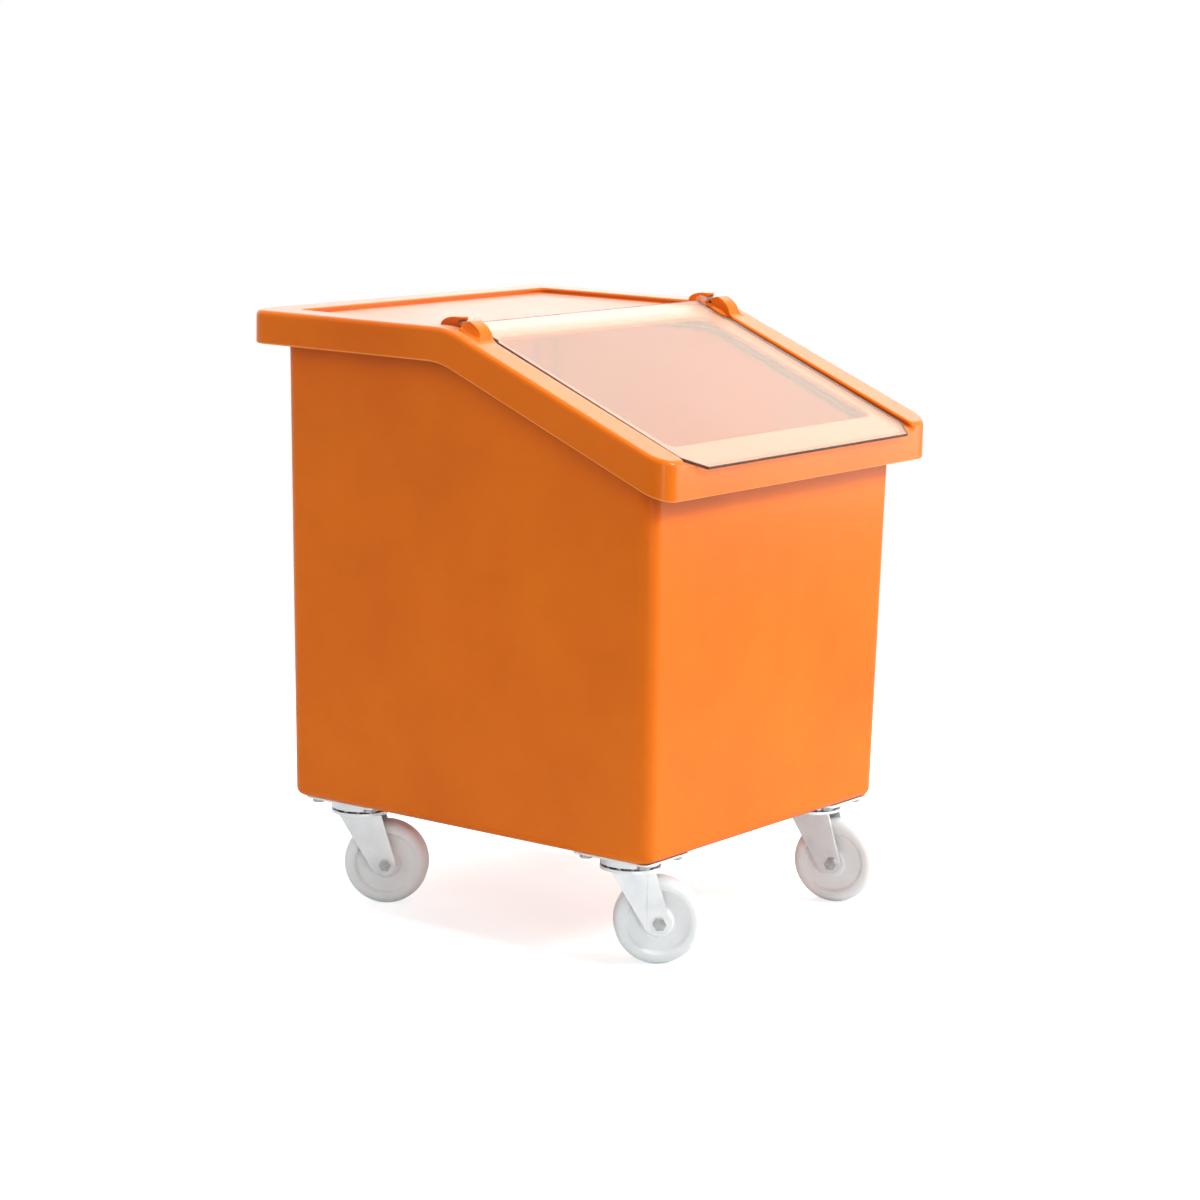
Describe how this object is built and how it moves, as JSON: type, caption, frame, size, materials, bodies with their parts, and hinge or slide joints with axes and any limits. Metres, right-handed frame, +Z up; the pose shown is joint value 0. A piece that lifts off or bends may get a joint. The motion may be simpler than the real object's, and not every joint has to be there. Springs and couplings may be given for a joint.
{
  "type": "rolling flour bin",
  "caption": "Rolling bakery ingredient bin: a moulded tub with a recessed rear deck and sloping open front under a hinged clear lid, on swivel castors with nylon wheels.",
  "frame": {"origin": "on the floor, under the middle of the whole bin's box", "axes": "+Z up, the sloping lid's front edge faces -Y, +X to the right of someone facing the back from the front"},
  "size_m": [0.549, 0.6104, 0.7175],
  "materials": {
    "moulded_tub": "semi-gloss rotationally moulded polyethylene",
    "clear_sheet": "clear polycarbonate sheet, polished",
    "zinc_steel": "bright zinc-plated pressed steel",
    "fastener_steel": "bright zinc-plated fasteners",
    "pin_steel": "greased turned steel",
    "insert_brass": "knurled brass",
    "wheel_nylon": "natural white nylon"
  },
  "bodies": {
    "bin": {"tub": "moulded_tub", "castor_plate_fl": "zinc_steel", "king_pin_fl": "pin_steel", "plate_bolts_fl": "fastener_steel", "thread_inserts_fl": "insert_brass", "castor_plate_fr": "zinc_steel", "king_pin_fr": "pin_steel", "plate_bolts_fr": "fastener_steel", "thread_inserts_fr": "insert_brass", "castor_plate_rl": "zinc_steel", "king_pin_rl": "pin_steel", "plate_bolts_rl": "fastener_steel", "thread_inserts_rl": "insert_brass", "castor_plate_rr": "zinc_steel", "king_pin_rr": "pin_steel", "plate_bolts_rr": "fastener_steel", "thread_inserts_rr": "insert_brass"},
    "lid": {"lid_panel": "clear_sheet", "lid_pivot_left": "clear_sheet", "lid_pivot_right": "clear_sheet"},
    "swivel_fl": {"fork_fl": "zinc_steel", "axle_bolt_fl": "fastener_steel", "axle_nut_fl": "fastener_steel", "axle_sleeve_fl": "pin_steel", "swivel_balls_fl": "pin_steel"},
    "roller_fl": {"wheel_fl": "wheel_nylon"},
    "swivel_fr": {"fork_fr": "zinc_steel", "axle_bolt_fr": "fastener_steel", "axle_nut_fr": "fastener_steel", "axle_sleeve_fr": "pin_steel", "swivel_balls_fr": "pin_steel"},
    "roller_fr": {"wheel_fr": "wheel_nylon"},
    "swivel_rl": {"fork_rl": "zinc_steel", "axle_bolt_rl": "fastener_steel", "axle_nut_rl": "fastener_steel", "axle_sleeve_rl": "pin_steel", "swivel_balls_rl": "pin_steel"},
    "roller_rl": {"wheel_rl": "wheel_nylon"},
    "swivel_rr": {"fork_rr": "zinc_steel", "axle_bolt_rr": "fastener_steel", "axle_nut_rr": "fastener_steel", "axle_sleeve_rr": "pin_steel", "swivel_balls_rr": "pin_steel"},
    "roller_rr": {"wheel_rr": "wheel_nylon"}
  },
  "joints": [
    {"name": "lid_hinge", "type": "hinge", "parent": "bin", "child": "lid", "pos_m": [0, 0.007, 0.7105], "axis": [-1, 0, 0], "range_deg": [0, 204]},
    {"name": "castor_swivel_fl", "type": "hinge", "parent": "bin", "child": "swivel_fl", "pos_m": [-0.186, -0.2, 0.11], "axis": [0, 0, 1], "continuous": true},
    {"name": "wheel_spin_fl", "type": "hinge", "parent": "swivel_fl", "child": "roller_fl", "pos_m": [-0.16501, -0.22415, 0.05], "axis": [0.7547, 0.6561, 0], "continuous": true},
    {"name": "castor_swivel_fr", "type": "hinge", "parent": "bin", "child": "swivel_fr", "pos_m": [0.186, -0.2, 0.11], "axis": [0, 0, 1], "continuous": true},
    {"name": "wheel_spin_fr", "type": "hinge", "parent": "swivel_fr", "child": "roller_fr", "pos_m": [0.19509, -0.23068, 0.05], "axis": [0.9588, 0.284, 0], "continuous": true},
    {"name": "castor_swivel_rl", "type": "hinge", "parent": "bin", "child": "swivel_rl", "pos_m": [-0.186, 0.2, 0.11], "axis": [0, 0, 1], "continuous": true},
    {"name": "wheel_spin_rl", "type": "hinge", "parent": "swivel_rl", "child": "roller_rl", "pos_m": [-0.16765, 0.17379, 0.05], "axis": [0.8192, 0.5736, 0], "continuous": true},
    {"name": "castor_swivel_rr", "type": "hinge", "parent": "bin", "child": "swivel_rr", "pos_m": [0.186, 0.2, 0.11], "axis": [0, 0, 1], "continuous": true},
    {"name": "wheel_spin_rr", "type": "hinge", "parent": "swivel_rr", "child": "roller_rr", "pos_m": [0.20102, 0.17175, 0.05], "axis": [0.8829, 0.4695, 0], "continuous": true}
  ]
}
